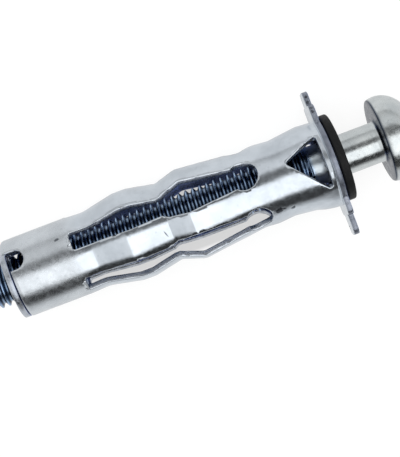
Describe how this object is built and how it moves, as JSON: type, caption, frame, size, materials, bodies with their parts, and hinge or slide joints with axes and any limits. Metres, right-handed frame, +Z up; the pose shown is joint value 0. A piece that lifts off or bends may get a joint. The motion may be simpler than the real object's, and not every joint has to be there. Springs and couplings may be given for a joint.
{
  "type": "hollow wall anchor",
  "caption": "Folding sheet-steel wall anchor with slotted legs, a clawed flange and a captive nut, on a round-head machine screw.",
  "frame": {"origin": "on the anchor's axis, in the face of the flange that bears on the wall", "axes": "+X along the axis towards the screw's head; +Z up, with the anchor lying on its side on two legs and the flange"},
  "size_m": [0.0493, 0.0161, 0.0101],
  "materials": {
    "zinc_sheet": "bright blue zinc plating, faintly mottled",
    "zinc_nut": "plain zinc plating",
    "black_ring": "matt black",
    "zinc_screw": "bright zinc plating"
  },
  "bodies": {
    "anchor": {"sleeve": "zinc_sheet", "nut": "zinc_nut"},
    "ring": {"washer_ring": "black_ring"},
    "screw": {"screw": "zinc_screw"}
  },
  "joints": [
    {"name": "screw_turn", "type": "hinge", "parent": "anchor", "child": "ring", "pos_m": [0, 0, 0], "axis": [1, 0, 0], "range_deg": [-2025, 3600]},
    {"name": "screw_travel", "type": "slide", "parent": "ring", "child": "screw", "axis": [1, 0, 0], "range_m": [-0.0045, 0.008]}
  ],
  "couplings": [
    {"joint": "screw_turn", "follows": "screw_travel", "rad_per_m": 7854}
  ]
}
